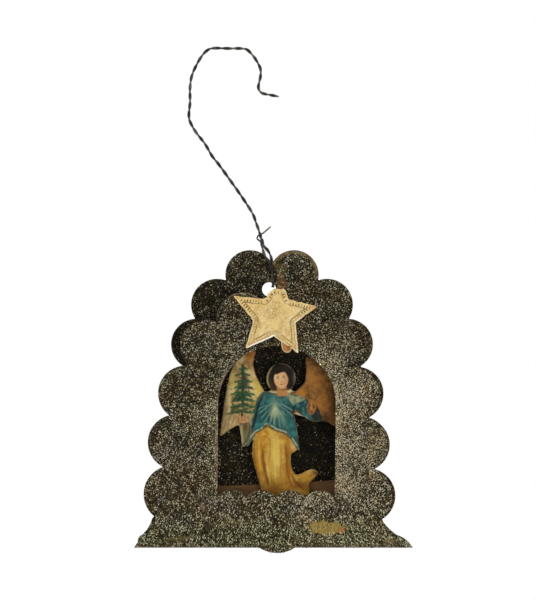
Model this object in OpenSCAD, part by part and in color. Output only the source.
// Bell-shaped shadow-box ornament of glittered board, with a printed angel scrap behind
// an arched window, an embossed star and a twisted wire hook.
// Drawn with the back panel's rear face at y = 0 and its foot at z = 0, front towards -Y,
// then moved so that the origin is the point of the hook that rests on a branch.

/* [Board] */
// Thickness of the two panels' board
board_t = 1.2; // [0.8:0.1:1.6]
// Depth of the space between the panels
gap_d = 9; // [8:0.5:12]
// Thickness of the folded strips that join the panels
strip_t = 0.6; // [0.4:0.1:0.8]

/* [Back panel] */
// Radius of the two top scallops
top_lobe_r = 8.3; // [8.2:0.1:8.6]
// Half of the width across the lip's corners
lip_w = 46.9; // [46:0.1:48]
// How much further the lip reaches to the right than to the left, halved
lip_lean = 0.5; // [0:0.1:1]
// How far the hanging hole is to the left of the middle
hole_shift = 1; // [0:0.1:1.5]
// Height of the hanging hole's centre above the foot
hole_z = 87; // [86.5:0.1:87.5]
// Diameter of the hanging hole
hole_d = 4.7; // [4.4:0.1:5]
// How far the clapper's tip hangs below the foot
clapper_drop = 1.8; // [1:0.1:3]
// How far the clapper's tip is to the right of the middle
clapper_shift = 1.7; // [0:0.1:2]
// Radius of the clapper's tip
clapper_r = 11; // [10:0.5:13]

/* [Front panel] */
// How far the front panel sits to the left of the back one
front_shift = 1.6; // [0:0.1:2]
// How far the front panel is turned, right side down, in degrees
front_turn = 0.5; // [0:0.1:1.5]
// Height of the front panel's foot above the back panel's
front_foot = 1.6; // [0:0.1:2]
// Half of the front panel's width across its lip's corners
front_lip_w = 43.4; // [42:0.1:44]
// Radius of the arched window's head
arch_r = 19.7; // [18:0.1:20]
// Height at which the arch springs
arch_z = 48.3; // [46:0.1:50]
// How far the window is to the right of the panel's middle
window_shift = 2.8; // [0:0.1:4]
// Height of the hollows between the sill's scallops
sill_z = 17.3; // [16:0.1:18]
// Radius of the sill's scallops
sill_r = 6.3; // [6.1:0.1:7]

/* [Star] */
// Radius to the star's tips
star_r = 15.1; // [14:0.1:16]
// Radius to the star's inner corners
star_in_r = 7.4; // [6:0.1:8]
// Thickness of the embossed star
star_t = 0.9; // [0.6:0.1:1.2]

/* [Wire] */
// Diameter across the twisted pair
wire_d = 1.1; // [0.8:0.1:1.2]
// Diameter of one strand
strand_d = 0.56; // [0.4:0.02:0.6]

/* [Hidden] */
$fn = 64;

// The scallops of one side, from the top down: the centre's x and z, and the radius
back_lobes = [[7.4, 91.9, top_lobe_r], [18.5, 81.8, 8.75], [25.4, 68.5, 8.6], [28.5, 51.9, 9.05],
    [30.6, 34.7, 9.05], [32.3, 17.5, 9.25]];
front_lobes = [[8.9, 77.1, 8.75], [21, 67.7, 8.75], [27.8, 51.9, 9.3], [31.1, 35.4, 9.3],
    [32, 18, 9.65]];

front_y = -board_t - gap_d;
scrap_t = 0.9;
scrap_y = -board_t - 3;
paper_t = 0.3;
star_at = [0.7, 78];
star_turn = -6;
star_cut_z = 87.4;
foil_edge_t = 0.45;
sill_lobes = 4;
sill_pitch = 2 * arch_r / sill_lobes;
sill_rise = 2.3;

// The floor strip's left end, length and front flange, and its torn rear edge above the sill
floor_x = -19.5;
floor_w = 42;
floor_drop = 5;
floor_rear = [[42, 5.6], [29, 4.6], [12, 3.9], [0, 3.4]];

// The side spacers' inner face, width, foot and height, and the top one's [x, z] and [w, h]
spacer_x = 24;
spacer_w = 5;
spacer_z = 6;
spacer_h = 48;
top_spacer_at = [-6.8, 72];
top_spacer_size = [13, 7];

// The pads behind the scrap: [x, z] and [w, h]
upper_pad_at = [-0.5, 45];
upper_pad_size = [7, 7];
lower_pad_at = [0, 24];
lower_pad_size = [5, 9];

// The wire's run through the hole, and the point of the hook that rests on a branch
eye_x = 0.3;
eye_z = 87.95;
hang_at = [-15, -board_t / 2, 167.6];

hook_route = [[1.7, -0.6, 152], [-0.9, -0.6, 152.5], [-3.4, -0.6, 153.1], [-4.5, -0.6, 154.4],
    [-4.5, -0.6, 155.9], [-3.9, -0.6, 158.6], [-3.9, -0.6, 161.2], [-5.3, -0.6, 164.1],
    [-7.4, -0.6, 166.8], [-9.4, -0.6, 168], [-15, -0.6, 168.1], [-19.5, -0.6, 168.2],
    [-21.6, -0.6, 167.6], [-23.6, -0.6, 165.6], [-25.6, -0.6, 162.2], [-27, -0.6, 158.8],
    [-27.6, -0.6, 155], [-27.6, -0.6, 150], [-28, -0.6, 145.2], [-27.1, -0.6, 142.4],
    [-25.4, -0.6, 139.6], [-22.6, -0.6, 136], [-20.2, -0.6, 131.9], [-17.9, -0.6, 129],
    [-14, -0.6, 123.6], [-10.2, -0.6, 118.2], [-6.7, -0.6, 112.8], [-5.5, -0.6, 109.8],
    [-4.3, -0.75, 106.4]];
eye_route = [[-3.8, -1.35, 104.6], [-3.5, -1.85, 103], [-3.3, -1.98, 101.4], [-2.5, -1.98, 98.5],
    [-1, -1.98, 96.2], [-0.2, -1.98, 93.8], [0.1, -1.96, 91.6], [0.3, -1.9, 89.2],
    [eye_x, -1.4, eye_z + 0.08], [eye_x, -0.6, eye_z], [eye_x, 0.2, eye_z + 0.08],
    [0.3, 0.7, 89.2], [0.2, 0.78, 91.6], [0.1, 0.8, 94.4], [-0.1, 0.82, 96.6],
    [-0.6, 0.82, 98.6], [-1.5, 0.82, 100.2], [-2.7, 0.8, 101.6], [-3.5, 0.4, 104]];
wrap_route = [[-3.5, 0.4, 104], [-4.6, 0.2, 103.7], [-5, -0.6, 104.2], [-4.7, -1.3, 105],
    [-3.9, -1.45, 105.5], [-3, -1.1, 105.9], [-1.6, -0.9, 107.1], [-0.2, -0.7, 108.3]];

// ---------------------------------------------------------------- helpers

function unit(v) = v / norm(v);

// One point of the smooth curve between b and c, at share t
function between(a, b, c, d, t) = 0.5 * (2 * b + (c - a) * t + (2 * a - 5 * b + 4 * c - d) * t * t
    + (3 * b - a - 3 * c + d) * t * t * t);

// A route's points with a smooth curve through them, steps points to each stretch
function smooth(p, steps) = let (n = len(p) - 1) concat(
    [for (i = [0 : n - 1], k = [0 : steps - 1])
        between(p[max(i - 1, 0)], p[i], p[i + 1], p[min(i + 2, n)], k / steps)],
    [p[n]]);

function tangents(p) = let (n = len(p) - 1)
    [for (i = [0 : n]) unit(p[min(i + 1, n)] - p[max(i - 1, 0)])];

// A side vector at each point, carried along the route without twist
function carried(t, side, i = 0) = i == len(t) ? []
    : let (s = unit(side - (side * t[i]) * t[i])) concat([s], carried(t, s, i + 1));

// A round tube along a route
module tube(route, d, sides = 8) {
    t = tangents(route);
    s = carried(t, [0, 1, 0]);
    n = len(route);
    rings = [for (i = [0 : n - 1], k = [0 : sides - 1]) let (a = 360 * k / sides)
        route[i] + d / 2 * (cos(a) * s[i] + sin(a) * cross(t[i], s[i]))];
    walls = [for (i = [0 : n - 2], k = [0 : sides - 1]) let (j = (k + 1) % sides)
        [i * sides + k, i * sides + j, (i + 1) * sides + j, (i + 1) * sides + k]];
    first = [for (k = [sides - 1 : -1 : 0]) k];
    last = [for (k = [0 : sides - 1]) (n - 1) * sides + k];
    polyhedron(rings, concat([first], walls, [last]));
}

// Stands up what is drawn flat, so that its thickness runs from y towards the front
module upright(y) {
    translate([0, y, 0]) rotate([90, 0, 0]) children();
}

module mirrored() {
    children();
    mirror([1, 0, 0]) children();
}

// Moves the whole ornament so that the hook's resting point is the origin
module place() {
    translate(-hang_at) children();
}

// ---------------------------------------------------------------- shapes, drawn flat

// Points from p to q on a shallow curve that bows inwards by sag, or outwards if it is negative
function bowed(p, q, sag, n = 6) = let (d = q - p, in = unit([d[1], -d[0]]))
    [for (i = [0 : n]) p + d * i / n + in * 4 * sag * (i / n) * (1 - i / n)];

function flipped(points) = [for (i = [len(points) - 1 : -1 : 0]) [-points[i][0], points[i][1]]];

// A lip's points, the lower ones further out or in by up to that much
function leaned(points, by) = [for (p = points) p + [by * (1 - p[1] / points[0][1]), 0]];

// The clapper's tip, which bulges below the foot
module clapper(x, foot) {
    translate([x, foot, 0]) intersection() {
        translate([0, clapper_r - clapper_drop, 0]) cylinder(r = clapper_r, h = board_t);
        translate([-clapper_r, -2 * clapper_drop, 0])
            cube([2 * clapper_r, 6 * clapper_drop, board_t]);
    }
}

// A bell of scallops down both sides, over a flared lip. The lip sweeps out from the notch
// under the last scallop to the knee, and then rounds over to the corner at the foot.
module bell(lobes, notch, knee, corner, lean, clapper_x) {
    side = concat([[0, lobes[0][1] + 2]], [for (c = lobes) [c[0], c[1]]]);
    lip = concat(bowed(notch, knee, 0.4), bowed(knee, corner, -0.7));
    linear_extrude(board_t) polygon(concat(side, leaned(lip, lean),
        flipped(concat(side, leaned(lip, -lean)))));
    for (c = lobes) mirrored()
        translate([c[0], c[1], 0]) cylinder(r = c[2], h = board_t);
    clapper(clapper_x, corner[1]);
}

// The cutter for the window: an arched opening whose sill is a row of scallops
module window_cutter() {
    deep = board_t + 2;
    difference() {
        union() {
            translate([0, arch_z, -1]) cylinder(r = arch_r, h = deep);
            translate([-arch_r, sill_z, -1]) cube([2 * arch_r, arch_z - sill_z, deep]);
        }
        for (i = [0 : sill_lobes - 1])
            translate([(i - (sill_lobes - 1) / 2) * sill_pitch, sill_z + sill_rise - sill_r, -2])
                cylinder(r = sill_r, h = deep + 2);
    }
}

function ring_point(r, a) = [r * cos(a), r * sin(a)];

// A five-pointed star whose top arm is cut off short
module star(t, grow = 0) {
    intersection() {
        translate(star_at) rotate(star_turn) linear_extrude(t)
            polygon([for (i = [0 : 4]) each [ring_point(star_r + 2 * grow, 90 + 72 * i),
                ring_point(star_in_r + grow, 126 + 72 * i)]]);
        translate([-star_r * 2, 0, 0]) cube([star_r * 4, star_cut_z + grow, t]);
    }
}

module scrap() {
    left_wing = [[-6.9, 66.4], [-8.9, 64.4], [-12.6, 61.6], [-15, 56], [-16, 49.5], [-17.3, 42.6],
        [-17.9, 37], [-14.3, 39.4], [-10.3, 41.6], [0, 42], [0, 52], [-3, 53.8], [-5.2, 59.3],
        [-5.7, 63]];
    right_wing = [[11, 64.4], [13.5, 63.9], [17.3, 60.4], [20.6, 53.4], [22.4, 46], [22.6, 40.4],
        [20.4, 40.8], [16.8, 41.2], [14.4, 43.4], [4, 44], [4, 52], [8.4, 53.4], [11.6, 57.6]];
    figure = [[-2.8, 53], [0.5, 54.4], [6, 54.4], [9.6, 52.8], [13, 48.4], [14.6, 44.2],
        [10.4, 43.4], [8.2, 40], [9.2, 32.8], [6.4, 34], [6.5, 28.4], [7.9, 25], [13.2, 26.4],
        [15.7, 25.4], [13.2, 22.6], [12.6, sill_z + 0.2], [-4, sill_z + 0.2], [-4.9, 21],
        [-6, 26.6], [-6.8, 32.6], [-6.4, 37], [-9.2, 34.4], [-9.4, 38], [-7.2, 44], [-5.6, 48.6]];
    for (shape = [left_wing, right_wing, figure])
        linear_extrude(scrap_t) polygon(shape);
    translate([3.3, 57.4, 0]) cylinder(r = 5.1, h = scrap_t);
}

// ---------------------------------------------------------------- pieces

module back_panel() {
    color("#4a453b") place() upright(0) difference() {
        bell(back_lobes, [37, 9.4], [lip_w - 5.1, 4.3], [lip_w, 0], lip_lean, clapper_shift);
        translate([-hole_shift, hole_z, -1]) cylinder(d = hole_d, h = board_t + 2);
    }
}

module front_place() {
    translate([-front_shift, 0, 0]) rotate([0, front_turn, 0]) children();
}

module front_panel() {
    color("#57503f") place() front_place() upright(front_y) difference() {
        bell(front_lobes, [38.7, 9.8], [front_lip_w - 1.6, front_foot + 2.8],
            [front_lip_w, front_foot], 0, clapper_shift + front_shift);
        translate([window_shift, 0, 0]) window_cutter();
    }
}

// A strip folded into a channel that is glued to both panels: its size is [w, depth, h]
module channel(size, open_side) {
    difference() {
        cube(size);
        translate([open_side * strip_t, strip_t, -1])
            cube([size[0], size[1] - 2 * strip_t, size[2] + 2]);
    }
}

// Its rear flange stands up to a torn edge, and its front one hangs behind the sill
module floor_strip() {
    fold_z = sill_z - strip_t;
    color("#6b4526") place() translate([floor_x, front_y, 0]) {
        translate([0, 0, fold_z]) cube([floor_w, gap_d, strip_t]);
        translate([0, gap_d - strip_t, sill_z]) rotate([90, 0, 0]) mirror([0, 0, 1])
            linear_extrude(strip_t)
                polygon(concat([[0, -strip_t], [floor_w, -strip_t]], floor_rear));
        translate([0, 0, sill_z - floor_drop]) cube([floor_w, strip_t, floor_drop]);
    }
}

module side_spacer() {
    translate([-spacer_x - spacer_w, front_y, spacer_z])
        channel([spacer_w, gap_d, spacer_h], 1);
}

module left_spacer() {
    color("#75502d") place() side_spacer();
}

module right_spacer() {
    color("#75502d") place() mirror([1, 0, 0]) side_spacer();
}

module top_spacer() {
    w = top_spacer_size[0];
    h = top_spacer_size[1];
    color("#75502d") place() translate([top_spacer_at[0], front_y, top_spacer_at[1] + h])
        rotate([0, 90, 0]) channel([h, gap_d, w], 1);
}

// A pad between the back panel and the scrap
module scrap_pad(at, size) {
    color("#8a6a45") place() translate([at[0], scrap_y, at[1]])
        cube([size[0], -board_t - scrap_y, size[1]]);
}

module angel_scrap() {
    color("#3c7c86") place() upright(scrap_y) scrap();
}

module upper_scrap_pad() {
    scrap_pad(upper_pad_at, upper_pad_size);
}

module lower_scrap_pad() {
    scrap_pad(lower_pad_at, lower_pad_size);
}

// A thin rim round a raised middle
module foil_star() {
    star_y = front_y - board_t - paper_t;
    color("#dcc795") place() {
        upright(star_y) star(star_t - foil_edge_t);
        upright(star_y) star(star_t, -0.5);
    }
}

module star_paper() {
    color("#a5703d") place() upright(front_y - board_t) linear_extrude(paper_t)
        polygon([[-3, 81], [-4, 76], [-1, 72.5], [2.8, 70.5], [3.2, 67], [4.6, 65.6], [6.6, 66.4],
            [6.8, 69], [5.6, 73], [5.4, 79], [2, 82]]);
}

// The pair of strands, and the one strand's end that is wrapped round the stem
module hanger_wire() {
    color("#33312c") place() {
        tube(smooth(concat(hook_route, eye_route), 2), wire_d);
        tube(smooth(wrap_route, 3), strand_d, 6);
    }
}

back_panel();
front_panel();
floor_strip();
left_spacer();
right_spacer();
top_spacer();
angel_scrap();
upper_scrap_pad();
lower_scrap_pad();
foil_star();
star_paper();
hanger_wire();
